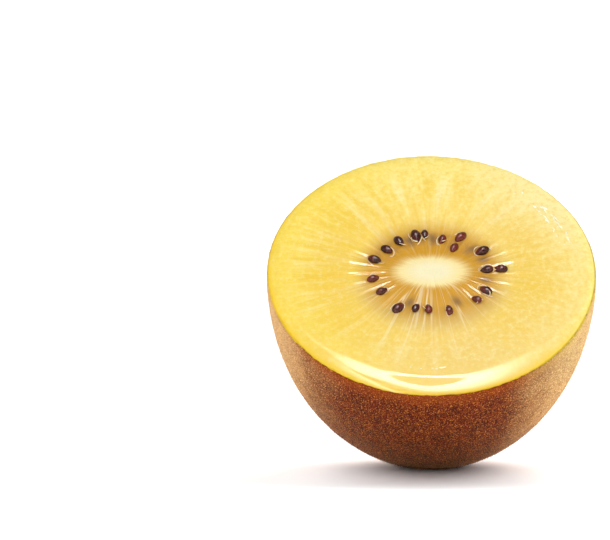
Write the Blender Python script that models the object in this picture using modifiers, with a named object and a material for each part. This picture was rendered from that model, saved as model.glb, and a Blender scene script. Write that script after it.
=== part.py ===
"""Half of a golden kiwi fruit, cut across its middle and lying on its rounded side.

Metres, +Z up. The origin is the middle of the small flat spot that the fruit rests on.
+X runs across the cut face, and the face leans towards -Y.

Each piece is modelled in the fruit's own frame, which hangs from one empty: its origin is
the middle of the cut face, +Z points out of the cut and the blossom end is at -Z.
"""

import math
import random

import bmesh
import bpy
from mathutils import Matrix, Vector

MM = 0.001

# The half fruit as a whole
FACE_RADIUS = 26.0 * MM
HALF_LENGTH = 36.2 * MM
LENGTH_POWER = 2.1
GIRTH_POWER = 2.05
BROAD_LUMP = 0.0036
NARROW_LUMP = 0.0024
LUMP_TWIST = 1.5

# How it lies: the tilt at which its weight is over the spot it rests on
TILT = math.radians(42.0)
FACE_CENTRE = Vector((-0.1, -9.5, 32.07)) * MM
FLOOR_CUTTER_SIZE = Vector((40.0, 40.0, 10.0)) * MM

# Skin, and the dimple with the dry flower scar at its far end
SKIN_THICKNESS = 0.8 * MM
SKIN_EDGE_DROP = 0.8 * MM
SKIN_STEPS = 60
SKIN_RINGS = 14
FAR_END = -0.85 * HALF_LENGTH
DIMPLE_DEPTH = 0.7 * MM
DIMPLE_RADIUS = 3.0 * MM
SCAR_HEIGHT = 0.4 * MM
SCAR_RADIUS = 1.9 * MM
SCAR_LOBES = 5
SCAR_NOTCH = 0.5
SCAR_RINGS = 5

# Flesh
TISSUE_GAP = 0.3 * MM
LOCULES = 32
STEPS_PER_LOCULE = 3
FLESH_RINGS = 9
FACE_RINGS = 9
RING_CROWDING = 1.3
LIP_RADIUS = 1.6 * MM
LIP_STEPS = 3
RIDGE_HEIGHT = 0.35 * MM
RING_SINK = 0.3 * MM
RING_OUTER_RADIUS = 0.62 * FACE_RADIUS

# Core: an oval column down the middle
CORE_RADIUS = 5.3 * MM
CORE_OVAL = 0.62
CORE_LENGTH = 27.0 * MM
CORE_CROWN = 0.35 * MM
CORE_EDGE = 0.4 * MM
CROWN_RINGS = 3
CORE_GAP = 0.4 * MM
HOLE_RADIUS = CORE_RADIUS + CORE_GAP
CORE_STEPS = 40
CORE_RINGS = 5

# Seeds that the knife met: the degrees from +X at which they stand round the core, two in line
# at some, in a ring that is a little wider at the low side of the cut
SEED_BEARINGS = (1, 32, 62, 80, 95, 106, 124, 140, 163, 190, 215, 238, 256, 267, 286, 316, 332)
TWIN_BEARINGS = (1, 62)
SEED_RING_RADIUS = 9.5 * MM
SEED_RING_SHIFT = 0.45 * MM
TWIN_SPACING = 2.2 * MM
SEED_TURN = 2.0
SEED_DRIFT = 0.45 * MM
SEED_LENGTH = 2.2 * MM
SEED_WIDTH = 1.4 * MM
SEED_DEPTH = 1.25 * MM
SEED_RISE = 0.15 * MM
SEED_STRAY = 0.1 * MM
SEED_LEAN = 0.2
SEED_TAPER = 0.3
SEED_VARIATION = 0.15
SEED_SIDES = 8
SEED_BANDS = 6
RANDOM_SEED = 42147

MERGE = 0.001 * MM
SHARP_ANGLE = math.radians(40.0)

# Base colour and roughness of each tissue
SKIN_FINISH = ((0.30, 0.13, 0.045), 0.75)
FLESH_FINISH = ((0.93, 0.68, 0.14), 0.3)
SEED_FINISH = ((0.05, 0.015, 0.01), 0.25)
CORE_FINISH = ((0.95, 0.86, 0.55), 0.4)


# Materials


def material(name, colour, roughness):
    made = bpy.data.materials.new(name)
    made.use_nodes = True
    shader = made.node_tree.nodes["Principled BSDF"]
    shader.inputs["Base Color"].default_value = (*colour, 1.0)
    shader.inputs["Roughness"].default_value = roughness
    shader.inputs["Metallic"].default_value = 0.0
    made.diffuse_color = (*colour, 1.0)
    return made


# The fruit's outline, shared by the skin and the flesh


def girth(depth, inset=0.0):
    """Radius at a depth below the cut, for the surface that lies inset under the skin's outside."""
    share = depth / (HALF_LENGTH - inset)
    return (FACE_RADIUS - inset) * (1.0 - share**LENGTH_POWER) ** (1.0 / GIRTH_POWER)


def depth_at(radius, inset=0.0):
    """The depth at which the far end has this radius."""
    share = radius / (FACE_RADIUS - inset)
    return (HALF_LENGTH - inset) * (1.0 - share**GIRTH_POWER) ** (1.0 / LENGTH_POWER)


def side_profile(start, inset, rings, end_radii):
    """Points down the outside, from the start depth to the far end, ending on the given small radii."""
    last = depth_at(end_radii[0], inset)
    depths = [start + (last - start) * math.sin(math.pi / 2 * i / rings) for i in range(rings)]
    points = [(girth(depth, inset), -depth) for depth in depths]
    points += [(radius, -depth_at(radius, inset)) for radius in end_radii]
    return points


def lump(angle, height):
    """A fruit's slow swellings: the share by which its radius differs from a turned shape."""
    broad = math.cos(2 * angle + math.pi / 4)
    narrow = math.cos(3 * angle - math.pi / 3 + LUMP_TWIST * height / HALF_LENGTH)
    return 1.0 + BROAD_LUMP * broad + NARROW_LUMP * narrow


def swollen(point):
    """The turned point moved to the real fruit's surface, with the dimple at its far end."""
    factor = lump(math.atan2(point.y, point.x), point.z)
    moved = Vector((point.x * factor, point.y * factor, point.z))
    if point.z < FAR_END:
        moved.z += DIMPLE_DEPTH * math.exp(-((point.xy.length / DIMPLE_RADIUS) ** 2))
    return moved


# Making objects


def evaluated_mesh(obj):
    graph = bpy.context.evaluated_depsgraph_get()
    return bpy.data.meshes.new_from_object(obj.evaluated_get(graph))


def turned(name, profile, steps):
    """A mesh object made by turning a profile of (radius, height) points about the fruit's axis."""
    outline = bpy.data.meshes.new(name + "_profile")
    edges = [(i, i + 1) for i in range(len(profile) - 1)]
    outline.from_pydata([(radius, 0.0, height) for radius, height in profile], edges, [])
    blank = bpy.data.objects.new(name + "_profile", outline)
    bpy.context.scene.collection.objects.link(blank)
    screw = blank.modifiers.new("turn", "SCREW")
    screw.steps = screw.render_steps = steps
    screw.use_merge_vertices = True
    screw.merge_threshold = MERGE
    made = evaluated_mesh(blank)
    bpy.data.objects.remove(blank)
    bpy.data.meshes.remove(outline)
    work = bmesh.new()
    work.from_mesh(made)
    bmesh.ops.remove_doubles(work, verts=work.verts, dist=MERGE)
    work.to_mesh(made)
    work.free()
    made.name = name
    return bpy.data.objects.new(name, made)


def reshape(obj, rule):
    for vertex in obj.data.vertices:
        vertex.co = rule(vertex.co)
    obj.data.update()


def finish(obj, collection, fruit_axis):
    collection.objects.link(obj)
    obj.parent = fruit_axis
    obj.data.shade_smooth()
    obj.data.set_sharp_from_angle(angle=SHARP_ANGLE)


# Skin: a thin cup round the flesh, flattened where the fruit's weight rests


def scar(angle, radius):
    """The height of the dry, star-shaped flower scar above the dimple."""
    reach = SCAR_RADIUS * (1.0 - SCAR_NOTCH * (0.5 - 0.5 * math.cos(SCAR_LOBES * angle)))
    share = min(1.0, radius / reach)
    return SCAR_HEIGHT * (1.0 - share**2)


def skin_surface(point):
    moved = swollen(point)
    if point.z < FAR_END:
        moved.z -= scar(math.atan2(point.y, point.x), point.xy.length)
    return moved


def make_floor_cutter():
    """The box under the floor that takes off the skin's lowest point."""
    mesh = bpy.data.meshes.new("floor_cutter")
    work = bmesh.new()
    bmesh.ops.create_cube(work, size=1.0)
    bmesh.ops.scale(work, vec=FLOOR_CUTTER_SIZE, verts=work.verts)
    work.to_mesh(mesh)
    work.free()
    cutter = bpy.data.objects.new("floor_cutter", mesh)
    cutter.location = (0.0, 0.0, -FLOOR_CUTTER_SIZE.z / 2)
    cutter.hide_render = True
    cutter.display_type = "WIRE"
    return cutter


def make_skin(floor_cutter):
    scar_radii = [SCAR_RADIUS * (1.0 - i / SCAR_RINGS) for i in range(SCAR_RINGS + 1)]
    end_radii = [DIMPLE_RADIUS, *scar_radii]
    skin = turned("skin", side_profile(SKIN_EDGE_DROP, 0.0, SKIN_RINGS, end_radii), SKIN_STEPS)
    reshape(skin, skin_surface)
    skin.data.materials.append(material("skin", *SKIN_FINISH))
    wall = skin.modifiers.new("wall", "SOLIDIFY")
    wall.thickness = SKIN_THICKNESS
    wall.offset = -1.0
    wall.use_even_offset = True
    flat = skin.modifiers.new("rest_spot", "BOOLEAN")
    flat.operation = "DIFFERENCE"
    flat.solver = "EXACT"
    flat.object = floor_cutter
    return skin


# Core: cream, oval, tapering down the fruit's middle


def core_profile(gap=0.0):
    """From the top of the column's side to its lower end. A gap makes the larger outline of its hole."""
    length = CORE_LENGTH + gap
    points = []
    for i in range(CORE_RINGS + 1):
        depth = length * math.sin(math.pi / 2 * i / CORE_RINGS)
        width = CORE_RADIUS * math.sqrt(max(0.0, 1.0 - (depth / length) ** 2))
        last = i == CORE_RINGS
        points.append((0.0 if last else width + gap, -depth))
    return points


def crown_profile():
    """The slightly domed top, from the middle to the start of its rounded edge."""
    points = []
    for i in range(CROWN_RINGS):
        share = i / (CROWN_RINGS - 1)
        points.append(((CORE_RADIUS - CORE_EDGE) * share, CORE_CROWN * (1.0 - share**2)))
    return points


def make_core():
    side = core_profile()[1:]
    core = turned("core", crown_profile() + [(CORE_RADIUS, -CORE_EDGE)] + side, CORE_STEPS)
    reshape(core, lambda point: Vector((point.x, point.y * CORE_OVAL, point.z)))
    core.data.materials.append(material("core", *CORE_FINISH))
    return core


# Flesh: golden, with a rounded lip at the skin and a sunk ring of locules round the core


def squeeze(radius):
    """How much rings round the core are narrowed across Y, from oval at the core to round outside."""
    if radius <= HOLE_RADIUS:
        return CORE_OVAL + (1.0 - CORE_OVAL) * CORE_GAP / max(radius, CORE_GAP)
    share = min(1.0, (radius - HOLE_RADIUS) / (RING_OUTER_RADIUS - HOLE_RADIUS))
    start = squeeze(HOLE_RADIUS)
    return start + (1.0 - start) * math.sin(math.pi / 2 * share)


def ring_share(radius):
    """1 in the middle of the ring of locules, and 0 at the core and past the ring."""
    share = (radius - CORE_RADIUS) / (RING_OUTER_RADIUS - CORE_RADIUS)
    return math.sin(math.pi * min(1.0, max(0.0, share))) ** 2


def face_height(angle, radius):
    """The cut face's height: locules sunk between the thin walls that stand between them."""
    wall = (0.5 + 0.5 * math.cos(LOCULES * angle)) ** 3
    return ring_share(radius) * (RIDGE_HEIGHT * wall - RING_SINK)


def flesh_surface(point):
    moved = swollen(point)
    radius = point.xy.length
    on_face = point.z > -MERGE
    in_hole = radius < HOLE_RADIUS + MERGE and point.z > FAR_END
    if on_face or in_hole:
        moved.y *= squeeze(radius)
    if on_face:
        moved.z += face_height(math.atan2(point.y, point.x), radius)
    return moved


def flesh_profile():
    """Up the hole for the core, out over the cut face, round the lip and down to the far end."""
    inset = SKIN_THICKNESS + TISSUE_GAP
    lip_start = girth(LIP_RADIUS, inset) - LIP_RADIUS
    hole = core_profile(CORE_GAP)[::-1]
    face = []
    for i in range(1, FACE_RINGS):
        share = (i / FACE_RINGS) ** RING_CROWDING
        face.append((HOLE_RADIUS + (lip_start - HOLE_RADIUS) * share, 0.0))
    lip = []
    for i in range(LIP_STEPS):
        turn = math.pi / 2 * i / LIP_STEPS
        lip.append((lip_start + LIP_RADIUS * math.sin(turn), LIP_RADIUS * (math.cos(turn) - 1.0)))
    side = side_profile(LIP_RADIUS, inset, FLESH_RINGS, [DIMPLE_RADIUS, DIMPLE_RADIUS / 2, 0.0])
    return hole + face + lip + side


def seed_places():
    """(angle, radius) in the ring for each seed, with the small strays that growth gives them."""
    rng = random.Random(RANDOM_SEED)
    places = []
    for bearing in SEED_BEARINGS:
        angle = math.radians(bearing + rng.uniform(-SEED_TURN, SEED_TURN))
        radius = SEED_RING_RADIUS - SEED_RING_SHIFT * math.sin(angle) + rng.uniform(-SEED_DRIFT, SEED_DRIFT)
        if bearing in TWIN_BEARINGS:
            places.append((angle, radius - TWIN_SPACING / 2))
            places.append((angle, radius + TWIN_SPACING / 2))
        else:
            places.append((angle, radius))
    return places


def make_seed(name, angle, radius, rng):
    """A plump drop lying in its locule, its narrow end to the core, sunk halfway into the flesh."""
    mesh = bpy.data.meshes.new(name)
    work = bmesh.new()
    bmesh.ops.create_uvsphere(work, u_segments=SEED_SIDES, v_segments=SEED_BANDS, radius=0.5)
    bmesh.ops.rotate(work, cent=(0, 0, 0), matrix=Matrix.Rotation(math.pi / 2, 3, "Y"), verts=work.verts)
    size = 1.0 + rng.uniform(-SEED_VARIATION, SEED_VARIATION)
    for vertex in work.verts:
        narrow = 1.0 - SEED_TAPER * max(0.0, -vertex.co.x * 2)
        vertex.co.x *= SEED_LENGTH * size
        vertex.co.y *= SEED_WIDTH * size * narrow
        vertex.co.z *= SEED_DEPTH * size * narrow
    work.to_mesh(mesh)
    work.free()
    seed = bpy.data.objects.new(name, mesh)
    x = radius * math.cos(angle)
    y = radius * math.sin(angle) * squeeze(radius)
    rise = SEED_RISE + rng.uniform(-SEED_STRAY, SEED_STRAY)
    seed.location = (x, y, face_height(angle, radius) + rise)
    lean = rng.uniform(-SEED_LEAN, SEED_LEAN)
    seed.rotation_euler = (0.0, lean, math.atan2(y, x) + rng.uniform(-SEED_LEAN, SEED_LEAN))
    return seed


def make_flesh():
    """The flesh with its seeds grown in: one body."""
    flesh = turned("flesh", flesh_profile(), LOCULES * STEPS_PER_LOCULE)
    reshape(flesh, flesh_surface)
    flesh.data.materials.append(material("flesh", *FLESH_FINISH))
    seed_material = material("seed", *SEED_FINISH)
    seeds = bpy.data.collections.new("seeds")
    scene = bpy.context.scene.collection
    scene.children.link(seeds)
    scene.objects.link(flesh)
    rng = random.Random(RANDOM_SEED + 1)
    for number, (angle, radius) in enumerate(seed_places(), start=1):
        seed = make_seed(f"seed_{number:02d}", angle, radius, rng)
        seed.data.materials.append(seed_material)
        seeds.objects.link(seed)
    join = flesh.modifiers.new("seeds", "BOOLEAN")
    join.operation = "UNION"
    join.solver = "EXACT"
    join.material_mode = "TRANSFER"
    join.operand_type = "COLLECTION"
    join.collection = seeds
    bpy.context.view_layer.update()
    joined = evaluated_mesh(flesh)
    flesh.modifiers.clear()
    flesh.data = joined
    for seed in list(seeds.objects):
        bpy.data.objects.remove(seed)
    bpy.data.collections.remove(seeds)
    scene.objects.unlink(flesh)
    return flesh


# The half fruit, put together


def build():
    for obj in list(bpy.data.objects):
        bpy.data.objects.remove(obj)
    scene = bpy.context.scene.collection
    fruit = bpy.data.collections.new("golden_kiwi_half")
    cutters = bpy.data.collections.new("cutters")
    scene.children.link(fruit)
    scene.children.link(cutters)
    fruit_axis = bpy.data.objects.new("fruit_axis", None)
    fruit_axis.location = FACE_CENTRE
    fruit_axis.rotation_euler = (TILT, 0.0, 0.0)
    fruit.objects.link(fruit_axis)

    floor_cutter = make_floor_cutter()
    cutters.objects.link(floor_cutter)
    finish(make_skin(floor_cutter), fruit, fruit_axis)
    finish(make_flesh(), fruit, fruit_axis)
    finish(make_core(), fruit, fruit_axis)


build()
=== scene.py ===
import math
import random

import bpy
import numpy as np
from mathutils import Matrix, Vector, noise


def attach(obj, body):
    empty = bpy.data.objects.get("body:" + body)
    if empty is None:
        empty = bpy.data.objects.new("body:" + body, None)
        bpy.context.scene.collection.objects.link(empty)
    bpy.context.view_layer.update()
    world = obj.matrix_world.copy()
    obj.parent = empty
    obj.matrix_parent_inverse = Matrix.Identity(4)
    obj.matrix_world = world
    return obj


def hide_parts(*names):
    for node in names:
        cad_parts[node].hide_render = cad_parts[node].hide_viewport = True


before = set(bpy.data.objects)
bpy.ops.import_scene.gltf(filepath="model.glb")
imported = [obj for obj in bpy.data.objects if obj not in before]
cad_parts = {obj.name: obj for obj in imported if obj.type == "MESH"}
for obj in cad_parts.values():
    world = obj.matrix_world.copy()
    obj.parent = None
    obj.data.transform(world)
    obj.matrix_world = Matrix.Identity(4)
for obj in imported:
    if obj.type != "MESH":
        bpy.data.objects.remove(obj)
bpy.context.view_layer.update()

# Flesh and core
# One piece of ripe fruit, cut clean across and wet. A sunk ring of seed chambers with pale walls
# runs round the oval cream core, pale strands run out from it, and the rim is a soft rounded lip.

MM = 0.001
FACE_RADIUS = 26.0 * MM
HALF_LENGTH = 36.2 * MM
LENGTH_POWER = 2.1
GIRTH_POWER = 2.05
BROAD_LUMP = 0.0036
NARROW_LUMP = 0.0024
LUMP_TWIST = 1.5
FACE_CENTRE = Vector((-0.1, -9.5, 32.07)) * MM
TILT = math.radians(42.0)
FRUIT_FRAME = Matrix.Translation(FACE_CENTRE) @ Matrix.Rotation(TILT, 4, "X")

SPOKES = 384
FLESH_INSET = 0.5 * MM
LIP_WIDTH = 2.0 * MM
FRONT_LIP_WIDTH = 4.0 * MM
LIP_ROLL = 0.45 * MM
FRONT_LIP_ROLL = 0.85 * MM
FRONT_LIP_DROP = (FRONT_LIP_ROLL - LIP_ROLL) / FACE_RADIUS
LIP_EDGE = 0.24 * MM
LIP_EDGE_POWER = 14
LIP_INSET = 0.12 * MM
LIP_RAG = 0.2 * MM
RAG_SIZE = 0.9 * MM
TUCK_DEPTH = 1.7 * MM
CORE_RADIUS = 5.3 * MM
CORE_OVAL = 0.62
CORE_GAP = 0.4 * MM
CORE_CROWN = 0.05 * MM
HOLE_RADIUS = CORE_RADIUS + CORE_GAP
RING_OUTER_RADIUS = 0.62 * FACE_RADIUS
FINE_MESH_RADIUS = 2.5 * CORE_RADIUS
LOCULES = 32
RIDGE_HEIGHT = 0.06 * MM
RING_SINK = 0.12 * MM
KNIFE_WAVES = 0.035 * MM
KNIFE_WAVE_SIZE = 7.0 * MM
FAR_END = -0.85 * HALF_LENGTH
DIMPLE_DEPTH = 0.7 * MM
DIMPLE_RADIUS = 3.0 * MM

CORE_RINGS = 12
CHAMBER_RINGS = 42
OUTER_RINGS = 24
LIP_RINGS = 24
FLESH_SIDE_RINGS = 30

SEED_BEARINGS = (1, 32, 62, 80, 95, 106, 124, 140, 163, 190, 215, 238, 256, 267, 286, 316, 332)
TWIN_BEARINGS = (1, 62)
DEEP_SEED_BEARINGS = (22, 43, 88, 112, 247, 297, 346)
SEED_RING_RADIUS = 9.5 * MM
SEED_RING_SHIFT = 0.45 * MM
DEEP_SEED_RADIUS = 0.93 * SEED_RING_RADIUS
TWIN_SPACING = 2.2 * MM
SEED_TURN = 2.0
SEED_DRIFT = 0.45 * MM
SEED_HOLLOW = 0.05 * MM
HOLLOW_LENGTH = 1.5 * MM
HOLLOW_WIDTH = 0.95 * MM
SEED_SHADE = 0.16
SEED_SHADE_WIDTH = 1.0 * MM
DEEP_SEED_SHADE = 0.8
DEEP_SEED_LENGTH = 1.1 * MM
DEEP_SEED_WIDTH = 0.7 * MM
RANDOM_SEED = 42147


def girth(depth, inset=0.0):
    """Radius at a depth below the cut, for the surface that lies inset under the skin's outside."""
    share = depth / (HALF_LENGTH - inset)
    return (FACE_RADIUS - inset) * (1.0 - share**LENGTH_POWER) ** (1.0 / GIRTH_POWER)


def side(start, inset, rings):
    """Radius and height of rings down the outside, closer together towards the far end."""
    depth = start + (HALF_LENGTH - inset - start) * np.sin(np.linspace(0.0, math.pi / 2, rings))
    radius = girth(np.minimum(depth, HALF_LENGTH - inset), inset)
    radius[-1] = 0.0
    return radius, -depth


def turned(name, rings):
    """A ball whose rings are ready to be laid on a turned outline, with each point's ring and angle."""
    bpy.ops.object.select_all(action="DESELECT")
    bpy.ops.mesh.primitive_uv_sphere_add(segments=SPOKES, ring_count=rings - 1, radius=1.0, calc_uvs=False)
    piece = bpy.context.object
    piece.name = piece.data.name = name
    ball = points_of(piece)
    ring = np.rint(np.arccos(np.clip(ball[:, 2], -1.0, 1.0)) / math.pi * (rings - 1)).astype(int)
    return piece, ring, np.arctan2(ball[:, 1], ball[:, 0])


def points_of(piece):
    points = np.empty(len(piece.data.vertices) * 3)
    piece.data.vertices.foreach_get("co", points)
    return points.reshape(-1, 3)


def set_points(piece, points):
    piece.data.vertices.foreach_set("co", np.ascontiguousarray(points).ravel())
    piece.data.update()


def placed(points):
    """Points of the fruit's own frame, moved to where the fruit lies."""
    turn = np.array(FRUIT_FRAME.to_3x3())
    return points @ turn.T + np.array(FACE_CENTRE)


def swollen(angle, radius, height):
    """A turned surface given the fruit's slow swellings and the dimple at its far end."""
    broad = np.cos(2 * angle + math.pi / 4)
    narrow = np.cos(3 * angle - math.pi / 3 + LUMP_TWIST * height / HALF_LENGTH)
    grown = radius * (1.0 + BROAD_LUMP * broad + NARROW_LUMP * narrow)
    dimple = np.where(height < FAR_END, DIMPLE_DEPTH * np.exp(-((radius / DIMPLE_RADIUS) ** 2)), 0.0)
    return np.stack([grown * np.cos(angle), grown * np.sin(angle), height + dimple], axis=1)


def smooth_step(value, low, high):
    share = np.clip((value - low) / (high - low), 0.0, 1.0)
    return share * share * (3.0 - 2.0 * share)


def low_side(angle):
    """1 at the low side of the cut, where the juice gathers, fading to 0 towards the left and right."""
    return smooth_step(-np.sin(angle), 0.2, 0.95)


def waves(points, size, shift=0.0):
    """Smooth random heights between about -1 and 1, for bumps of the given size."""
    return np.array([noise.noise(Vector(p) / size + Vector((shift, shift, shift))) for p in points])


def squeeze(radius):
    """How much rings round the core are narrowed across Y, from oval at the core to round outside."""
    start = CORE_OVAL + (1.0 - CORE_OVAL) * CORE_GAP / HOLE_RADIUS
    share = np.clip((radius - HOLE_RADIUS) / (RING_OUTER_RADIUS - HOLE_RADIUS), 0.0, 1.0)
    return start + (1.0 - start) * np.sin(math.pi / 2 * share)


def chamber_height(angle, radius):
    """Seed chambers sunk between the thin walls that stand between them."""
    share = np.clip((radius - CORE_RADIUS) / (RING_OUTER_RADIUS - CORE_RADIUS), 0.0, 1.0)
    wall = (0.5 + 0.5 * np.cos(LOCULES * angle)) ** 4
    return np.sin(math.pi * share) ** 2 * (RIDGE_HEIGHT * wall - RING_SINK)


def seed_places():
    """(angle, radius) in the ring for each seed, with the small strays that growth gives them."""
    rng = random.Random(RANDOM_SEED)
    places = []
    for bearing in SEED_BEARINGS:
        angle = math.radians(bearing + rng.uniform(-SEED_TURN, SEED_TURN))
        radius = SEED_RING_RADIUS - SEED_RING_SHIFT * math.sin(angle) + rng.uniform(-SEED_DRIFT, SEED_DRIFT)
        if bearing in TWIN_BEARINGS:
            places.append((angle, radius - TWIN_SPACING / 2))
            places.append((angle, radius + TWIN_SPACING / 2))
        else:
            places.append((angle, radius))
    return places


def on_cut(angle, radius):
    """X and Y on the cut face for an angle and radius in the ring."""
    return np.array([radius * math.cos(angle), radius * math.sin(angle) * squeeze(radius)])


def near(points, spot, length, width):
    """1 at a spot on the cut and fading to 0 round it, over an oval that points away from the core."""
    away = spot / np.linalg.norm(spot)
    offset = points[:, :2] - spot
    along = offset @ away
    across = offset @ np.array([-away[1], away[0]])
    return np.exp(-((along / length) ** 2) - (across / width) ** 2)


def make_flesh():
    lip_start = girth(LIP_ROLL + LIP_EDGE, LIP_INSET) - LIP_WIDTH
    lip_share = np.sin(np.linspace(0.0, math.pi / 2, LIP_RINGS))
    side_radius, side_height = side(TUCK_DEPTH, FLESH_INSET, FLESH_SIDE_RINGS)
    radius = np.concatenate([
        np.linspace(0.0, CORE_RADIUS, CORE_RINGS, endpoint=False),
        np.linspace(CORE_RADIUS, FINE_MESH_RADIUS, CHAMBER_RINGS, endpoint=False),
        np.linspace(FINE_MESH_RADIUS, lip_start, OUTER_RINGS, endpoint=False),
        lip_start + LIP_WIDTH * lip_share,
        side_radius,
    ])
    face_rings = len(radius) - len(side_radius)
    height = np.concatenate([
        np.zeros(face_rings - LIP_RINGS),
        -LIP_ROLL * lip_share**2 - LIP_EDGE * lip_share**LIP_EDGE_POWER,
        side_height,
    ])
    piece, ring, angle = turned("flesh_cut", len(radius))
    on_face = ring < face_rings
    r, h = radius[ring], height[ring]

    # The lip grows broader and rounder towards the low side of the cut
    front = low_side(angle)
    share = np.clip((r - lip_start) / LIP_WIDTH, 0.0, 1.0)
    h = h - np.where(on_face, (FRONT_LIP_ROLL - LIP_ROLL) * front * share**2, 0.0)
    wider = (FRONT_LIP_WIDTH - LIP_WIDTH) * front
    inside = smooth_step(r, RING_OUTER_RADIUS, lip_start)
    edge = radius[face_rings - 1]
    in_lip = on_face & (r >= lip_start)
    shifted = np.where(in_lip, edge - (edge - r) * (LIP_WIDTH + wider) / LIP_WIDTH, r - wider * inside)
    r = np.where(on_face, shifted, r)

    local = swollen(angle, r, h)
    growth = np.stack([r * np.cos(angle), r * np.sin(angle), h], axis=1) / FACE_RADIUS
    local[:, 1] *= np.where(on_face, squeeze(r), 1.0)
    relief = chamber_height(angle, r)
    relief += CORE_CROWN * np.clip(1.0 - (r / CORE_RADIUS) ** 2, 0.0, 1.0)
    relief += KNIFE_WAVES * waves(local, KNIFE_WAVE_SIZE)
    ragged = smooth_step(np.cos(angle) + np.sin(angle), -0.3, 0.9) * share**6
    relief += LIP_RAG * ragged * waves(local, RAG_SIZE, 2.0)
    seed_shadow_and_deep_seeds = np.zeros(len(local))
    for seed_angle, seed_radius in seed_places():
        spot = on_cut(seed_angle, seed_radius)
        relief -= SEED_HOLLOW * near(local, spot, HOLLOW_LENGTH, HOLLOW_WIDTH)
        # Round each seed, a soft dark halo: partly the seed seen through the flesh, partly painted shadow.
        seed_shadow_and_deep_seeds = np.maximum(seed_shadow_and_deep_seeds, SEED_SHADE * near(local, spot, HOLLOW_LENGTH, SEED_SHADE_WIDTH))
    for bearing in DEEP_SEED_BEARINGS:
        spot = on_cut(math.radians(bearing), DEEP_SEED_RADIUS)
        shade = near(local, spot, DEEP_SEED_LENGTH, DEEP_SEED_WIDTH)
        seed_shadow_and_deep_seeds = np.maximum(seed_shadow_and_deep_seeds, DEEP_SEED_SHADE * shade)
    local[:, 2] += np.where(on_face, relief, 0.0)
    set_points(piece, placed(local))

    for name, kind, field, values in (
        ("growth", "FLOAT_VECTOR", "vector", growth),
        ("seed_shadow_and_deep_seeds", "FLOAT", "value", seed_shadow_and_deep_seeds),
    ):
        layer = piece.data.attributes.new(name, kind, "POINT")
        layer.data.foreach_set(field, np.ascontiguousarray(values, dtype=np.float32).ravel())
    piece.data.shade_smooth()
    return piece


class Term:
    """A shader socket that can be used in sums; each operation adds its Math node."""

    def __init__(self, nodes, socket):
        self.nodes = nodes
        self.socket = socket

    def __add__(self, other):
        return self.nodes.math("ADD", self, other)

    def __radd__(self, other):
        return self.nodes.math("ADD", other, self)

    def __sub__(self, other):
        return self.nodes.math("SUBTRACT", self, other)

    def __rsub__(self, other):
        return self.nodes.math("SUBTRACT", other, self)

    def __mul__(self, other):
        return self.nodes.math("MULTIPLY", self, other)

    def __rmul__(self, other):
        return self.nodes.math("MULTIPLY", other, self)


class Nodes:
    """A node tree that is written as expressions."""

    def __init__(self, tree):
        self.tree = tree

    def node(self, kind, settings, inputs, output=0):
        """A node of this kind, with its settings made first, then its sockets set or linked."""
        made = self.tree.nodes.new(kind)
        for name, value in settings.items():
            setattr(made, name, value)
        for key, value in inputs.items():
            self.give(made.inputs[key], value)
        return Term(self, made.outputs[output])

    def give(self, socket, value):
        if isinstance(value, Term):
            self.tree.links.new(value.socket, socket)
        else:
            socket.default_value = value

    def math(self, operation, *values):
        return self.node("ShaderNodeMath", {"operation": operation}, dict(enumerate(values)))

    def vector(self, operation, *vectors):
        """A vector worked out from vectors."""
        return self.node("ShaderNodeVectorMath", {"operation": operation}, dict(enumerate(vectors)))

    def measure(self, operation, *vectors):
        """A number worked out from vectors."""
        return self.node("ShaderNodeVectorMath", {"operation": operation}, dict(enumerate(vectors)), 1)

    def place(self):
        """The point of the piece, in metres."""
        return self.node("ShaderNodeTexCoord", {}, {}, 3)

    def stored(self, name, output):
        """What the mesh holds under a name: output 1 is a vector and output 2 a number."""
        return self.node("ShaderNodeAttribute", {"attribute_name": name}, {}, output)

    def fade(self, value, low, high):
        """0 at low, 1 at high, and smooth between them; low may be the larger."""
        settings = {"interpolation_type": "SMOOTHSTEP"}
        return self.node("ShaderNodeMapRange", settings, {0: value, 1: low, 2: high, 3: 0.0, 4: 1.0})

    def grain(self, vector, scale, detail=2.0, roughness=0.5):
        """Noise from 0 to 1."""
        inputs = {"Vector": vector, "Scale": scale, "Detail": detail, "Roughness": roughness}
        return self.node("ShaderNodeTexNoise", {}, inputs)

    def blend(self, share, first, second):
        """The first colour where share is 0 and the second where it is 1."""
        return self.node("ShaderNodeMix", {"data_type": "RGBA"}, {0: share, 6: first, 7: second}, 2)

    def coated(self, colour, coats):
        """A colour with thin coats laid over it in turn, each with the share that it covers."""
        for share, coat in coats:
            colour = self.blend(share, colour, coat)
        return colour

    def split(self, vector):
        made = self.node("ShaderNodeSeparateXYZ", {}, {0: vector})
        return [Term(self, output) for output in made.socket.node.outputs]

    def join(self, x, y, z):
        return self.node("ShaderNodeCombineXYZ", {}, {0: x, 1: y, 2: z})


class Finish(Nodes):
    """A material: a Principled shader with its constants, and the nodes that feed it."""

    def __init__(self, name, constants):
        self.material = bpy.data.materials.new(name)
        self.material.use_nodes = True
        super().__init__(self.material.node_tree)
        self.shader = self.tree.nodes["Principled BSDF"]
        for socket, value in constants.items():
            self.shader.inputs[socket].default_value = value

    def feed(self, socket, value):
        self.give(self.shader.inputs[socket], value)

    def bump(self, height, distance):
        made = self.node("ShaderNodeBump", {}, {"Height": height, "Distance": distance, "Strength": 1.0})
        self.feed("Normal", made)


def paint(red, green, blue):
    """A display colour of 0 to 255 as the light that it stands for."""
    parts = [part / 255 for part in (red, green, blue)]
    return (*(p / 12.92 if p <= 0.04045 else ((p + 0.055) / 1.055) ** 2.4 for p in parts), 1.0)


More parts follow.
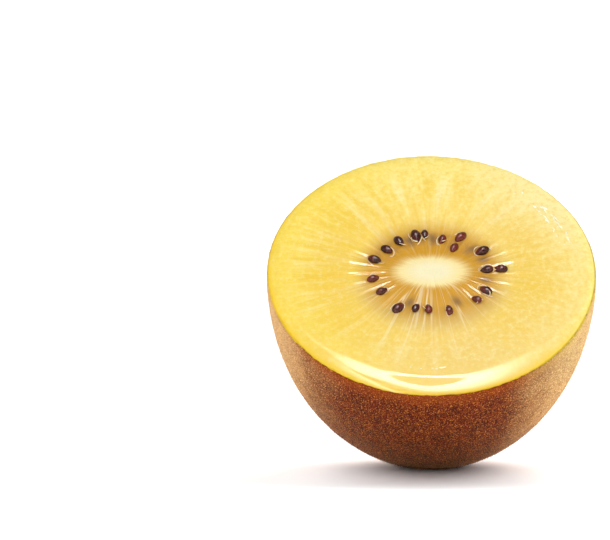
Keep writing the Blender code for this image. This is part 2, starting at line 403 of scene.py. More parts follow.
def flesh_finish():
    wet = Finish("wet_golden_flesh", {
        "Subsurface Weight": 0.3,
        "Subsurface Radius": (1.0, 0.62, 0.22),
        "Subsurface Scale": 0.8 * MM,
        "IOR": 1.42,
        "Specular IOR Level": 0.12,
        "Coat Weight": 0.6,
        "Coat Roughness": 0.045,
        "Coat IOR": 1.45,
    })
    growth = wet.stored("growth", 1)
    across, back, height = wet.split(growth)
    ring = wet.measure("LENGTH", wet.join(across, back, 0.0))
    angle = wet.math("ARCTAN2", back, across)
    around = wet.math("COSINE", angle)
    beside = wet.math("SINE", angle)

    def strands(count, stretch, detail, shift=0.0):
        """Noise drawn out into strands that run away from the core."""
        return wet.grain(wet.join(around * count, beside * count, ring * stretch + shift), 1.0, detail, 0.6)

    def in_ring(start, full, fading, end):
        """1 in a ring round the core, which starts, is full, fades and ends at these radii."""
        return wet.fade(ring, start, full) * wet.fade(ring, end, fading)

    fine = strands(30.0, 4.0, 3.0)
    broad = strands(8.0, 2.0, 2.0, 3.0)
    thread = strands(20.0, 2.2, 3.0, 11.0)
    vein = 1.0 - wet.math("ABSOLUTE", strands(7.0, 0.7, 1.0, 7.0) * 2.0 - 1.0)
    mottle = wet.grain(growth, 26.0, 6.0, 0.75)
    nicks = wet.grain(growth, 34.0, 2.0)
    wall_phase = wet.math("COSINE", angle * LOCULES + (broad - 0.5) * 5.0)

    # Golden flesh: paler behind and to the right, deeper to the left, in soft strands
    drawn = 0.35 + 0.65 * wet.fade(back, -0.35, 0.05)
    behind_right = wet.fade(across, 0.0, 0.7) * wet.fade(back, -0.1, 0.6)
    fibres = 0.6 * wet.fade(across, 0.2, -0.6) + 0.3 * wet.fade(across, 0.1, 0.7)
    fibres = fibres * wet.fade(back, -0.75, -0.3) * in_ring(0.35, 0.5, 0.75, 0.95)
    aside = around * around * in_ring(0.4, 0.55, 0.6, 0.9)
    smooth_lip = (1.0 - 0.7 * wet.fade(back, -0.7, -0.86)) * (1.0 - 0.3 * wet.fade(across, 0.0, -0.6))
    colour = wet.blend(wet.fade(back, -0.7, 0.8), paint(243, 211, 118), paint(251, 227, 126))
    colour = wet.coated(colour, (
        (wet.fade(across, 0.1, -0.8) * 0.85, paint(250, 219, 80)),
        (wet.fade(across, 0.2, 0.9) * 0.5, paint(251, 229, 142)),
        (wet.fade(broad, 0.48, 0.66) * 0.7 * drawn * wet.fade(ring, 0.95, 0.75), paint(245, 209, 80)),
        (wet.fade(broad, 0.5, 0.34) * 0.6 * drawn * wet.fade(ring, 0.93, 0.6), paint(255, 240, 178)),
        (behind_right * 0.5, paint(255, 240, 186)),
        (wet.fade(thread, 0.5, 0.68) * fibres, paint(255, 238, 160)),
        (wet.fade(thread, 0.5, 0.34) * fibres, paint(241, 203, 60)),
        (aside * 0.6, paint(238, 196, 52)),
        (wet.fade(mottle, 0.48, 0.68) * 0.55 * smooth_lip, paint(255, 240, 176)),
        (wet.fade(mottle, 0.52, 0.32) * 0.5 * smooth_lip, paint(238, 196, 84)),
    ))

    # The ring of seed chambers: milky past the seeds, shaded at the front, and amber by the core,
    # with darker specks between the seeds and the core behind
    shade = in_ring(0.34, 0.4, 0.42, 0.56) * wet.fade(back, 0.0, -0.3)
    dusk = in_ring(0.25, 0.32, 0.34, 0.42) * wet.fade(back, 0.05, 0.2)
    colour = wet.coated(colour, (
        (in_ring(0.38, 0.46, 0.48, 0.72) * wet.fade(fine, 0.65, 0.3) * 0.5, paint(242, 204, 88)),
        (shade * 0.45, paint(198, 154, 94)),
        (wet.fade(ring, 0.5, 0.36) * 0.95, paint(216, 160, 44)),
        (wet.fade(ring, 0.4, 0.25) * wet.fade(fine, 0.0, 0.4), paint(210, 153, 32)),
        (dusk * wet.fade(mottle, 0.42, 0.6) * 0.4, paint(166, 112, 72)),
    ))

    # Pale walls between the chambers, and thin strands that run on past them
    at_front = (0.25 + 0.75 * wet.fade(back, 0.15, -0.3)) * (1.0 - 0.45 * around * around)
    wall = wet.fade(wall_phase, 0.86, 1.0) * wet.fade(ring + (fine - 0.5) * 0.5, 0.55, 0.3)
    strand = wet.fade(vein, 0.955, 1.0) * wet.fade(ring + (broad - 0.5) * 0.7, 0.72, 0.3)
    streak = wet.fade(fine, 0.55, 0.75) * in_ring(0.2, 0.3, 0.3, 0.9)
    colour = wet.coated(colour, (
        (wall * wet.fade(fine, 0.3, 0.65) * 0.2 * at_front, paint(255, 236, 170)),
        (strand * 0.55 * at_front, paint(255, 244, 204)),
        (streak * 0.15 * at_front, paint(255, 236, 164)),
    ))

    # Cream core with a soft edge, a soft dark halo round each seed that is partly painted shadow, and the
    # dark of seeds that lie under the surface
    core = wet.fade(ring * (1.0 - 0.12 * around * around) + (fine - 0.5) * 0.1, 0.24, 0.15)
    colour = wet.coated(colour, (
        (core, paint(249, 228, 158)),
        (wet.fade(ring + (fine - 0.5) * 0.12, 0.2, 0.06), paint(255, 242, 200)),
        (wet.stored("seed_shadow_and_deep_seeds", 2), paint(120, 88, 60)),
    ))

    # Deeper yellow where the flesh thins out to the skin, and an olive rim with nicks at the far side
    low_lip = wet.fade(ring, 0.84, 0.92) * wet.fade(back, -0.3, -0.75)
    far_side = wet.fade(across + back, -0.2, 0.9)
    edge_colour = wet.blend(far_side, paint(240, 200, 48), paint(238, 206, 76))
    rim = wet.blend(far_side, paint(212, 172, 16), paint(176, 154, 36))
    rim = wet.blend(wet.fade(nicks, 0.5, 0.6) * far_side * 0.9, rim, paint(92, 84, 18))
    drop = height + FRONT_LIP_DROP * wet.fade(back, -0.2, -0.95)
    colour = wet.coated(colour, (
        (low_lip * 0.5, paint(236, 198, 84)),
        (wet.fade(ring, 0.96, 0.99) * (0.8 - 0.4 * far_side), edge_colour),
        (wet.fade(drop + (nicks - 0.5) * 0.008, -0.012, -0.021), rim),
    ))
    wet.feed("Base Color", colour)
    wet.feed("Roughness", 0.22 + 0.2 * mottle)
    wet.bump((fine * 0.6 + mottle * 0.4) * (1.0 + wet.fade(ring, 0.6, 0.4)), 0.05 * MM)
    return wet.material


flesh = make_flesh()
flesh.data.materials.append(flesh_finish())
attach(flesh, "root")
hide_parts("flesh", "core")

# Seeds
# Plump, glossy, dark red-brown drops, each lying in its chamber with the narrow end to the core.
# They grew there, so each is sunk nearly halfway into the flesh.

SEED_LENGTH = 2.2 * MM
SEED_WIDTH = 1.4 * MM
SEED_DEPTH = 1.25 * MM
SEED_RISE = 0.15 * MM
SEED_STRAY = 0.1 * MM
SEED_LEAN = 0.2
SEED_TAPER = 0.3
SEED_VARIATION = 0.15
SEED_DENTS = 0.035 * MM
DENT_SIZE = 0.34 * MM


def seed_poses():
    """Place, turn and size of each seed on the cut, in the fruit's own frame."""
    rng = random.Random(RANDOM_SEED + 1)
    poses = []
    for angle, radius in seed_places():
        size = 1.0 + rng.uniform(-SEED_VARIATION, SEED_VARIATION)
        x, y = on_cut(angle, radius)
        rise = SEED_RISE + rng.uniform(-SEED_STRAY, SEED_STRAY)
        spot = Vector((x, y, float(chamber_height(angle, radius)) + rise))
        lean = rng.uniform(-SEED_LEAN, SEED_LEAN)
        heading = math.atan2(y, x) + rng.uniform(-SEED_LEAN, SEED_LEAN)
        turn = Matrix.Rotation(heading, 4, "Z") @ Matrix.Rotation(lean, 4, "Y")
        poses.append(Matrix.Translation(spot) @ turn @ Matrix.Scale(size, 4))
    return poses


def unit(vectors):
    return vectors / np.linalg.norm(vectors, axis=1)[:, None]


def copied(first, pose):
    """A copy of a modelled piece with a mesh of its own, moved to its place on the fruit."""
    copy = first.copy()
    copy.data = first.data.copy()
    bpy.context.scene.collection.objects.link(copy)
    copy.data.transform(FRUIT_FRAME @ pose)
    return copy


def joined(first, copies, name):
    """The copies as one piece, without the first that they were taken from."""
    bpy.data.objects.remove(first)
    for copy in copies:
        copy.select_set(True)
    bpy.context.view_layer.objects.active = copies[0]
    bpy.ops.object.join()
    piece = bpy.context.object
    piece.name = piece.data.name = name
    return piece


def make_seeds():
    bpy.ops.object.select_all(action="DESELECT")
    bpy.ops.mesh.primitive_uv_sphere_add(
        segments=44, ring_count=28, radius=0.5, rotation=(0.0, math.pi / 2, 0.0), calc_uvs=False
    )
    bpy.ops.object.transform_apply(location=False, rotation=True, scale=False)
    first = bpy.context.object
    drop = points_of(first)
    narrow = 1.0 - SEED_TAPER * np.clip(-2 * drop[:, 0], 0.0, 1.0)
    drop *= np.stack([np.ones(len(drop)), narrow, narrow], axis=1)
    drop *= np.array([SEED_LENGTH, SEED_WIDTH, SEED_DEPTH])
    set_points(first, drop)
    first.data.shade_smooth()
    copies = [copied(first, pose) for pose in seed_poses()]
    for copy in copies:
        grown = points_of(copy)
        dents = waves(grown, DENT_SIZE) + 0.5 * waves(grown, DENT_SIZE / 2)
        set_points(copy, grown + SEED_DENTS * dents[:, None] * unit(grown - grown.mean(axis=0)))
    return joined(first, copies, "seeds")


def seed_finish():
    shiny = Finish("dark_seed", {
        "Specular IOR Level": 0.15,
        "Coat Weight": 0.4,
        "Coat Roughness": 0.04,
    })
    tone = shiny.grain(shiny.place(), 320.0, 1.0)
    pits = shiny.grain(shiny.place(), 3800.0, 2.0, 0.6)
    colour = shiny.blend(shiny.fade(tone, 0.35, 0.65), paint(42, 10, 9), paint(100, 32, 20))
    colour = shiny.blend(shiny.fade(pits, 0.5, 0.7) * 0.6, colour, paint(142, 70, 46))
    shiny.feed("Base Color", colour)
    shiny.feed("Roughness", 0.25 + 0.25 * pits)
    shiny.bump(pits, 0.05 * MM)
    return shiny.material


seeds = make_seeds()
seeds.data.materials.append(seed_finish())
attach(seeds, "root")

# Seed stalks and jelly
# Fine white threads that curl round the seeds where each was joined to the core, wet and half
# sunk in the flesh, so that only short arcs of them show.

STALK_LOOP = 0.8 * MM
STALK_THICKNESS = 0.065 * MM
STALKS_PER_SEED = (1, 2, 3, 4)


def make_stalks():
    bpy.ops.object.select_all(action="DESELECT")
    bpy.ops.mesh.primitive_torus_add(
        major_radius=STALK_LOOP, minor_radius=STALK_THICKNESS, major_segments=26, minor_segments=6,
        generate_uvs=False,
    )
    first = bpy.context.object
    rng = random.Random(RANDOM_SEED + 2)
    copies = []
    for pose in seed_poses():
        for _ in range(rng.choice(STALKS_PER_SEED)):
            aside = (rng.uniform(-0.5, 0.3), rng.uniform(-0.35, 0.35), rng.uniform(-0.55, -0.1))
            lean = Matrix.Rotation(rng.uniform(0.25, 0.9) * rng.choice((-1, 1)), 4, "X")
            tip = Matrix.Rotation(rng.uniform(-0.5, 0.5), 4, "Y")
            stretch = Matrix.Diagonal((rng.uniform(1.0, 1.6), rng.uniform(0.7, 1.1), 1.0, 1.0))
            spot = Matrix.Translation(Vector(aside) * MM)
            copies.append(copied(first, pose @ spot @ lean @ tip @ stretch))
    stalks = joined(first, copies, "seed_stalks")
    stalks.data.shade_smooth()
    return stalks


def stalk_finish():
    pale = Finish("white_thread", {
        "Coat Weight": 1.0,
        "Coat Roughness": 0.05,
    })
    tone = pale.grain(pale.place(), 900.0, 2.0)
    colour = pale.blend(pale.fade(tone, 0.35, 0.65), paint(250, 232, 190), paint(226, 190, 120))
    pale.feed("Base Color", colour)
    pale.feed("Roughness", 0.2 + 0.3 * tone)
    return pale.material


stalks = make_stalks()
stalks.data.materials.append(stalk_finish())
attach(stalks, "root")

# Beads of juice
# Flat drops and short streaks of see-through yellow juice that stand on the wet cut, in lines beside the
# rim at the far right and above the low lip. Each is sunk by half, and painted near white as a glint.

BEAD_SIZE = 0.17 * MM
BEAD_FLATNESS = 0.35
RIGHT_BEADS = 50
RIGHT_LINES = (21.6 * MM, 22.6 * MM, 22.9 * MM)
LINE_STRAY = 0.12 * MM
LOW_BEADS = 9
LOW_LINES = (20.4 * MM, 20.9 * MM)


def make_beads():
    bpy.ops.object.select_all(action="DESELECT")
    bpy.ops.mesh.primitive_uv_sphere_add(segments=12, ring_count=8, radius=BEAD_SIZE, calc_uvs=False)
    first = bpy.context.object
    first.data.shade_smooth()
    rng = random.Random(RANDOM_SEED + 3)
    spots = []
    for _ in range(RIGHT_BEADS):
        line = rng.choice(RIGHT_LINES)
        spots.append((math.radians(rng.triangular(8.0, 54.0, 28.0)), line + rng.gauss(0.0, LINE_STRAY)))
    for _ in range(LOW_BEADS):
        spots.append((math.radians(rng.uniform(260.0, 276.0)), rng.uniform(*LOW_LINES)))
    copies = []
    for angle, radius in spots:
        size = rng.uniform(0.3, 1.0)
        place = Matrix.Translation((radius * math.cos(angle), radius * math.sin(angle), 0.0))
        shape = Matrix.Diagonal((0.8 * size, size * rng.uniform(1.0, 4.0), size * BEAD_FLATNESS, 1.0))
        turn = Matrix.Rotation(angle + rng.gauss(0.0, 0.15), 4, "Z")
        copies.append(copied(first, place @ turn @ shape))
    return joined(first, copies, "juice_beads")


def bead_finish():
    juice_glint = Finish("juice", {
        "Coat Weight": 1.0,
        "Coat Roughness": 0.02,
    })
    tone = juice_glint.grain(juice_glint.place(), 800.0, 2.0)
    # Near white, paler than the juice itself: a painted glint.
    juice_glint.feed("Base Color", juice_glint.blend(tone, paint(255, 244, 200), paint(255, 252, 232)))
    juice_glint.feed("Roughness", 0.1 + 0.15 * tone)
    return juice_glint.material


beads = make_beads()
beads.data.materials.append(bead_finish())
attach(beads, "root")

# Skin
# A thin tough cup that grew round the flesh, dry and matt, brown with fine raised pores, and with
# the dark scar of the flower at its far end. Its cut edge is slightly ragged, and it is pressed
# flat where the fruit rests.

SKIN_WALL = 0.42 * MM
SKIN_INNER_RINGS = 24
SKIN_OUTER_RINGS = 104
SKIN_EDGE_DROP = 0.85 * MM
FRONT_EDGE_DROP = 0.08 * MM
EDGE_ROUND = 0.08 * MM
EDGE_DEPTH = 3.0 * MM
SKIN_MIDDLE = Vector((0.0, -1.0, 24.0)) * MM
CUT_NORMAL = Vector((0.0, -math.sin(TILT), math.cos(TILT)))
SKIN_RAG = 0.13 * MM
LONG_RAG_SIZE = 2.6 * MM
RAG_DEPTH = 2.2 * MM
PORE_HEIGHT = 0.05 * MM
PORE_SIZE = 1.1 * MM
PORE_GROUP_SIZE = 3.1 * MM
SCAR_PLACE = FACE_CENTRE - CUT_NORMAL * (HALF_LENGTH - DIMPLE_DEPTH)
SCAR_HEIGHT = 0.4 * MM
SCAR_RADIUS = 1.9 * MM
SCAR_LOBES = 5
SCAR_NOTCH = 0.5


def make_skin():
    inner_radius, inner_height = side(SKIN_EDGE_DROP, SKIN_WALL, SKIN_INNER_RINGS)
    outer_radius, outer_height = side(SKIN_EDGE_DROP, 0.0, SKIN_OUTER_RINGS)
    edge_radius = girth(SKIN_EDGE_DROP) - SKIN_WALL / 2
    radius = np.concatenate([inner_radius[::-1], [edge_radius], outer_radius])
    height = np.concatenate([inner_height[::-1], [EDGE_ROUND - SKIN_EDGE_DROP], outer_height])
    piece, ring, angle = turned("skin_fine", len(radius))
    outside = ring > len(inner_radius)
    r, h = radius[ring], height[ring]
    local = swollen(angle, r, h)
    reach = SCAR_RADIUS * (1.0 - SCAR_NOTCH * (0.5 - 0.5 * np.cos(SCAR_LOBES * angle)))
    scar = SCAR_HEIGHT * np.clip(1.0 - (r / reach) ** 2, 0.0, 1.0)
    local[:, 2] -= np.where(outside & (h < FAR_END), scar, 0.0)
    low = low_side(angle) * smooth_step(h, -EDGE_DEPTH, -SKIN_EDGE_DROP)
    local[:, 2] -= FRONT_EDGE_DROP * low
    rag = waves(local, RAG_SIZE) + 0.6 * waves(local, LONG_RAG_SIZE, 5.0)
    local[:, 2] += SKIN_RAG * rag * smooth_step(h, -RAG_DEPTH, -SKIN_EDGE_DROP)
    pores = waves(local, PORE_SIZE) + waves(local, PORE_GROUP_SIZE, 7.0)
    local += np.where(outside, PORE_HEIGHT * pores, 0.0)[:, None] * unit(local)
    world = placed(local)
    world[:, 2] = np.maximum(world[:, 2], 0.0)
    set_points(piece, world)
    piece.data.shade_smooth()
    return piece


def skin_sides(finish, place, patches):
    """Share of painted shade, the dark red-brown in front, and share of plain golden brown behind."""
    x, y, z = finish.split(finish.vector("NORMALIZE", finish.vector("SUBTRACT", place, SKIN_MIDDLE)))
    aside = finish.math("ABSOLUTE", x + 0.02) + (patches - 0.5) * 0.3
    aside = aside + 0.14 * z * finish.fade(x, 0.2, -0.3) + 0.07 * finish.fade(x, 0.2, 0.6)
    return finish.fade(aside, 0.93, 0.42) * finish.fade(y, 0.6, 0.0), finish.fade(y, -0.45, 0.65)


def skin_finish():
    dry = Finish("brown_skin", {
        "IOR": 1.4,
        "Specular IOR Level": 0.12,
        "Sheen Weight": 0.25,
        "Sheen Roughness": 0.3,
        "Sheen Tint": paint(255, 220, 160),
    })
    place = dry.place()
    clouds = dry.grain(place, 420.0, 3.0)
    specks = dry.grain(place, 4600.0, 2.0, 0.7)
    strokes = dry.grain(place, 3000.0, 2.0, 0.6)
    pores = dry.node("ShaderNodeTexVoronoi", {}, {"Vector": place, "Scale": 780.0})
    # The red-brown in front is painted shade; the golden brown behind is the skin's own colour.
    painted_front_shade, behind = skin_sides(dry, place, dry.grain(place, 150.0, 3.0))
    x, _, z = dry.split(place)
    # Paler towards the left and right edges as seen from in front: painted rim light.
    edge = dry.fade(x, -19.5 * MM, -24.5 * MM) + dry.fade(x, 21.5 * MM, 25.0 * MM) * 0.7
    to_right = dry.fade(x, -14.0 * MM, 20.0 * MM) * dry.fade(z, 6.0 * MM, 22.0 * MM)
    height = dry.measure("DOT_PRODUCT", dry.vector("SUBTRACT", place, FACE_CENTRE), CUT_NORMAL)
    from_scar = dry.measure("DISTANCE", place, SCAR_PLACE) + (specks - 0.5) * 3.0 * MM

    def tone(left, right, rear, front):
        """One tone of the skin, from its colours at the left, at the right, behind, and in front, where it
        is a painted shade.
        """
        aside = dry.blend(to_right, paint(*left), paint(*right))
        return dry.blend(painted_front_shade, dry.blend(behind, aside, paint(*rear)), paint(*front))

    # The last colour of each tone is the painted shade in front.
    middle = tone((200, 142, 78), (184, 148, 90), (176, 110, 54), (92, 28, 8))
    pale = tone((226, 180, 116), (212, 184, 128), (198, 134, 74), (160, 62, 18))
    bright = tone((244, 220, 166), (244, 220, 166), (212, 152, 92), (232, 146, 70))
    dark = tone((138, 78, 34), (166, 128, 78), (146, 82, 38), (52, 14, 5))
    darkest = tone((138, 78, 34), (166, 128, 78), (146, 82, 38), (46, 14, 6))
    near_flesh = (1.0 - painted_front_shade) * dry.fade(height, -3.5 * MM, -0.8 * MM) * to_right
    colour = dry.coated(middle, (
        (dry.fade(clouds, 0.56, 0.4) * 0.65, dark),
        (dry.fade(strokes, 0.5, 0.62) * 0.7, pale),
        (dry.fade(specks, 0.575, 0.645) * 0.95, bright),
        (dry.fade(specks, 0.47, 0.36) * 0.9, darkest),
        (dry.fade(pores, 0.27, 0.15) * (0.45 + 0.45 * behind), paint(118, 44, 26)),
        # A redder orange within the painted front shade, just below the cut edge.
        (painted_front_shade * dry.fade(height, -4.0 * MM, -0.8 * MM) * 0.45, paint(168, 76, 14)),
        (near_flesh * 0.4, paint(206, 174, 84)),
        # Painted rim light at the left and right edges.
        (edge * (1.0 - behind) * 0.5, paint(214, 174, 118)),
        (dry.fade(from_scar, 4.5 * MM, 1.8 * MM) * 0.45, paint(120, 68, 36)),
        (dry.fade(from_scar, 2.0 * MM, 1.2 * MM) * 0.9, paint(56, 30, 18)),
    ))
    dry.feed("Base Color", colour)
    dry.feed("Roughness", 0.6 + 0.3 * specks)
    dry.bump(specks * 0.6 + strokes * 0.6, 0.12 * MM)
    return dry.material


skin = make_skin()
skin.data.materials.append(skin_finish())
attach(skin, "root")
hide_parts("skin")

# Fuzz
# Very short, stiff, golden to brown hairs, painted dark red-brown in front as shade, that cover the skin
# and lie over towards the far end.
# Each is a fine tapering blade that grew from the skin.

HAIRS = 40000
HIGHEST_HAIR = 0.027
LOWEST_HAIR = 0.995
HAIR_LENGTH = 0.32 * MM
HAIR_WIDTH = 0.055 * MM
HAIR_SINK = 0.04 * MM
HAIR_LAY = 0.5
HAIR_TANGLE = 0.9
FLOOR_GAP = 0.02 * MM
SMALL_DEPTH = 0.01 * MM
SMALL_TURN = 0.001


def skin_point(angle, depth):
    return swollen(angle, girth(depth), -depth)


def make_fuzz():
    rng = np.random.default_rng(RANDOM_SEED)
    angle = rng.uniform(-math.pi, math.pi, HAIRS * 2)
    depth = HALF_LENGTH * rng.uniform(HIGHEST_HAIR, LOWEST_HAIR, HAIRS * 2)

    # Which way is down the skin, round it and out of it at each try, and the tries that are kept
    # so that the hairs stand equally close all over
    start = skin_point(angle, depth)
    down = (skin_point(angle, np.minimum(depth + SMALL_DEPTH, HALF_LENGTH)) - start) / SMALL_DEPTH
    round_it = (skin_point(angle + SMALL_TURN, depth) - start) / SMALL_TURN
    normal = np.cross(down, round_it)
    area = np.linalg.norm(normal, axis=1)
    keep = rng.uniform(0.0, 1.0, len(area)) < area / np.percentile(area, 99)
    keep &= np.cumsum(keep) <= HAIRS
    start = start[keep]
    down, round_it, normal = (unit(way[keep]) for way in (down, round_it, normal))

    # Each hair is a three-sided blade that leans over and tapers to a point
    count = len(start)
    tangle = rng.normal(0.0, HAIR_TANGLE, (count, 2))
    heading = normal * rng.uniform(0.35, 1.0, count)[:, None]
    heading += down * (HAIR_LAY + tangle[:, :1]) + round_it * tangle[:, 1:]
    heading = unit(heading)
    length = HAIR_LENGTH * rng.uniform(0.6, 1.4, count)[:, None]
    width = HAIR_WIDTH * rng.uniform(0.7, 1.3, count)[:, None]
    flat = unit(np.cross(heading, normal))
    up = np.cross(flat, heading)
    root = start - normal * HAIR_SINK
    corners = np.stack([
        root + flat * width / 2,
        root - flat * width / 2,
        root + up * width / 2,
        root + heading * length,
    ], axis=1)
    world = placed(corners.reshape(-1, 3)).reshape(-1, 4, 3)
    world = world[world[:, :, 2].min(axis=1) > FLOOR_GAP]
    blade = np.array([(0, 2, 1), (0, 1, 3), (1, 2, 3), (2, 0, 3)])
    faces = (np.arange(len(world))[:, None, None] * 4 + blade).reshape(-1, 3)
    mesh = bpy.data.meshes.new("fuzz")
    mesh.from_pydata(world.reshape(-1, 3), [], faces)
    piece = bpy.data.objects.new("fuzz", mesh)
    bpy.context.scene.collection.objects.link(piece)
    return piece


def fuzz_finish():
    hair = Finish("golden_fuzz", {"IOR": 1.45, "Roughness": 0.5, "Specular IOR Level": 0.2})
    place = hair.place()
    tone = hair.grain(place, 2600.0, 1.0)
    painted_front_shade, behind = skin_sides(hair, place, hair.grain(place, 150.0, 3.0))
    dark = hair.blend(behind, paint(160, 106, 58), paint(154, 90, 44))
    pale = hair.blend(behind, paint(246, 214, 152), paint(198, 134, 76))
    # Hairs in front take the painted shade of the skin: darker and redder.
    dark = hair.blend(painted_front_shade, dark, paint(70, 24, 9))
    pale = hair.blend(painted_front_shade, pale, paint(214, 128, 58))
    hair.feed("Base Color", hair.blend(hair.fade(tone, 0.48, 0.66), dark, pale))
    return hair.material


fuzz = make_fuzz()
fuzz.data.materials.append(fuzz_finish())
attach(fuzz, "root")

# Studio
# A white floor under a pale dome, with three suns for the floor alone. A soft box above in front
# and a tall one at each side light the fruit alone, and a glowing panel shows only in what is wet.
# The camera has a long lens, at the photograph's angle.

CAMERA_ELEVATION = math.radians(5.2)
CAMERA_DISTANCE = 1.5
PICTURE_WIDTH = 610
PICTURE_HEIGHT = 540
FACE_CENTRE_PIXEL = (431.4, 271.5)
PIXELS_ACROSS_FACE = 329.0
SENSOR_WIDTH = 36.0
DOME_LIGHT = 0.66
DOME_TOP_LIGHT = 0.3
FLOOR_SIZE = 16.0

LAMP_DISTANCE = 0.6
SUN_WIDTH = math.radians(60.0)

# The panel's heights are degrees above the fruit, and its widths shares of the lamps' distance
PANEL_SQUARES = 120
PANEL_HALF_WIDTH = 0.6
PANEL_FOOT = 10.0
PANEL_TOP = 85.0
PANEL_STRENGTH = 31.0
GLOW_START = 34.0
GLOW_SLANT = 140.0
GLOW_FULL = 66.0
TOP_FADE = 1.5
TOP_SLANT = 130.0
EYE_ELEVATION = 69.5
EYE_HALF_HEIGHT = 10.5
EYE_HALF_WIDTH = 0.09


def make_camera():
    data = bpy.data.cameras.new("camera")
    camera = bpy.data.objects.new("camera", data)
    bpy.context.scene.collection.objects.link(camera)
    reach = PIXELS_ACROSS_FACE * CAMERA_DISTANCE / (2 * FACE_RADIUS)
    data.sensor_width = SENSOR_WIDTH
    data.lens = reach / PICTURE_WIDTH * SENSOR_WIDTH
    data.clip_end = 50.0
    ahead = Vector((0.0, math.cos(CAMERA_ELEVATION), -math.sin(CAMERA_ELEVATION)))
    up = Vector((0.0, math.sin(CAMERA_ELEVATION), math.cos(CAMERA_ELEVATION)))
    right = Vector((1.0, 0.0, 0.0))
    aside = (FACE_CENTRE_PIXEL[0] - PICTURE_WIDTH / 2) * CAMERA_DISTANCE / reach
    below = (FACE_CENTRE_PIXEL[1] - PICTURE_HEIGHT / 2) * CAMERA_DISTANCE / reach
    camera.location = FACE_CENTRE - ahead * CAMERA_DISTANCE - right * aside + up * below
    camera.rotation_euler = (math.pi / 2 - CAMERA_ELEVATION, 0.0, 0.0)
    bpy.context.scene.camera = camera


def make_dome():
    world = bpy.data.worlds.new("studio_dome")
    bpy.context.scene.world = world
    world.use_nodes = True
    sky = Nodes(world.node_tree)
    rise = sky.split(sky.node("ShaderNodeTexCoord", {}, {}, 0))[2]
    light = DOME_LIGHT - (DOME_LIGHT - DOME_TOP_LIGHT) * sky.fade(rise, 0.1, 0.6)
    backdrop = world.node_tree.nodes["Background"]
    sky.give(backdrop.inputs["Strength"], light)
    sky.give(backdrop.inputs["Color"], (1.0, 1.0, 1.0, 1.0))


def make_panel():
    """The glowing front of a soft box, curved round the fruit, which shows only as a reflection."""
    bpy.ops.object.select_all(action="DESELECT")
    bpy.ops.mesh.primitive_grid_add(
        x_subdivisions=PANEL_SQUARES, y_subdivisions=PANEL_SQUARES, size=2.0, calc_uvs=False
    )
    panel = bpy.context.object
    panel.name = "soft_box"
    grid = points_of(panel)
    x = grid[:, 0] * PANEL_HALF_WIDTH
    elevation = PANEL_FOOT + (PANEL_TOP - PANEL_FOOT) / 2 * (grid[:, 1] + 1.0)
    rise = np.radians(elevation)
    level = np.sqrt(1.0 - x * x)
    ways = np.stack([x, -level * np.cos(rise), level * np.sin(rise)], axis=1)
    set_points(panel, LAMP_DISTANCE * ways + np.array(FACE_CENTRE))

    # It is brightest high in the middle, with a dark gap there that the wet lip shows as an eye
    glow = smooth_step(elevation, GLOW_START + GLOW_SLANT * np.maximum(-x, 0.0), GLOW_FULL)
    glow *= smooth_step(PANEL_TOP - elevation, 0.0, TOP_FADE + TOP_SLANT * np.abs(x))
    glow *= smooth_step(-np.abs(x), -0.42, -0.03)
    from_eye = ((elevation - EYE_ELEVATION) / EYE_HALF_HEIGHT) ** 2 + np.abs(x / EYE_HALF_WIDTH)
    glow *= smooth_step(from_eye, 0.8, 1.1)
    layer = panel.data.attributes.new("glow", "FLOAT", "POINT")
    layer.data.foreach_set("value", glow.astype(np.float32))
    cloth = Finish("soft_box_cloth", {
        "Base Color": (0.0, 0.0, 0.0, 1.0),
        "Specular IOR Level": 0.0,
        "Emission Strength": PANEL_STRENGTH,
    })
    shine = cloth.stored("glow", 2)
    cloth.feed("Emission Color", cloth.join(shine, shine, shine))
    panel.data.materials.append(cloth.material)
    panel.visible_camera = False
    panel.visible_diffuse = False
    panel.visible_shadow = False


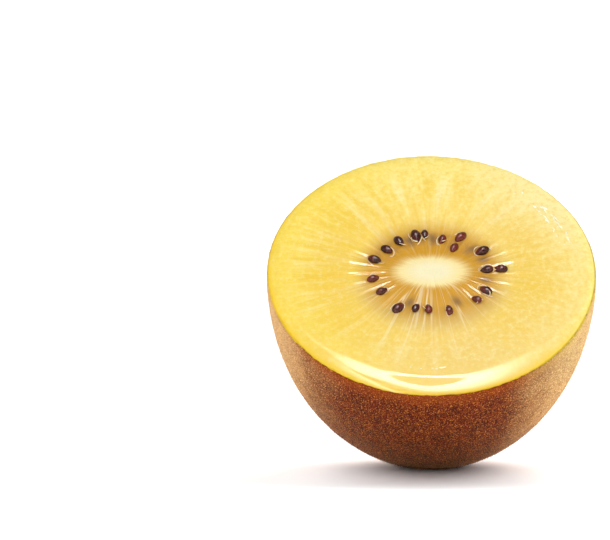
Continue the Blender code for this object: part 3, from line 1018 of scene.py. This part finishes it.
def make_lamp(name, kind, azimuth, elevation, energy, lit):
    """A lamp aimed at the fruit that lights only the pieces named."""
    data = bpy.data.lights.new(name, kind)
    data.energy = energy
    lamp = bpy.data.objects.new(name, data)
    bpy.context.scene.collection.objects.link(lamp)
    a, e = math.radians(azimuth), math.radians(elevation)
    toward = Vector((math.sin(a) * math.cos(e), -math.cos(a) * math.cos(e), math.sin(e)))
    lamp.location = FACE_CENTRE + toward * LAMP_DISTANCE
    lamp.rotation_euler = toward.to_track_quat("Z", "Y").to_euler()
    group = bpy.data.collections.new(name)
    for piece in lit:
        group.objects.link(piece)
    lamp.light_linking.receiver_collection = group
    return lamp


def make_soft_box(name, azimuth, elevation, energy, width, height):
    """A soft box for the fruit, its width and height in degrees; what is wet doesn't mirror it."""
    lamp = make_lamp(name, "AREA", azimuth, elevation, energy, fruit)
    lamp.data.shape = "ELLIPSE"
    lamp.data.size = 2 * LAMP_DISTANCE * math.tan(math.radians(width / 2))
    lamp.data.size_y = 2 * LAMP_DISTANCE * math.tan(math.radians(height / 2))
    lamp.visible_glossy = False


def make_sun(name, azimuth, elevation, energy):
    """A broad soft sun for the floor alone."""
    lamp = make_lamp(name, "SUN", azimuth, elevation, energy, (floor,))
    lamp.data.angle = SUN_WIDTH


def make_floor():
    bpy.ops.object.select_all(action="DESELECT")
    bpy.ops.mesh.primitive_plane_add(size=FLOOR_SIZE, location=(0.0, 0.0, -FLOOR_GAP))
    bpy.ops.object.transform_apply()
    floor = bpy.context.object
    floor.name = "floor"
    white = Finish("white_floor", {
        "Base Color": (0.9, 0.9, 0.9, 1.0),
        "Roughness": 0.9,
        "Specular IOR Level": 0.0,
    })
    floor.data.materials.append(white.material)
    return floor


make_camera()
make_dome()
floor = make_floor()
fruit = (flesh, seeds, stalks, beads, skin, fuzz)
make_panel()
make_soft_box("front_box", 0.0, 56.0, 1.5, 40.0, 40.0)
make_soft_box("right_box", 105.0, 14.0, 3.9, 32.0, 60.0)
make_soft_box("left_box", -105.0, 14.0, 1.8, 32.0, 60.0)
make_sun("floor_right_light", 128.0, 40.0, 4.0)
make_sun("floor_left_light", 232.0, 40.0, 3.2)
make_sun("floor_front_light", 0.0, 25.0, 1.0)
bpy.context.scene.view_settings.view_transform = "Standard"
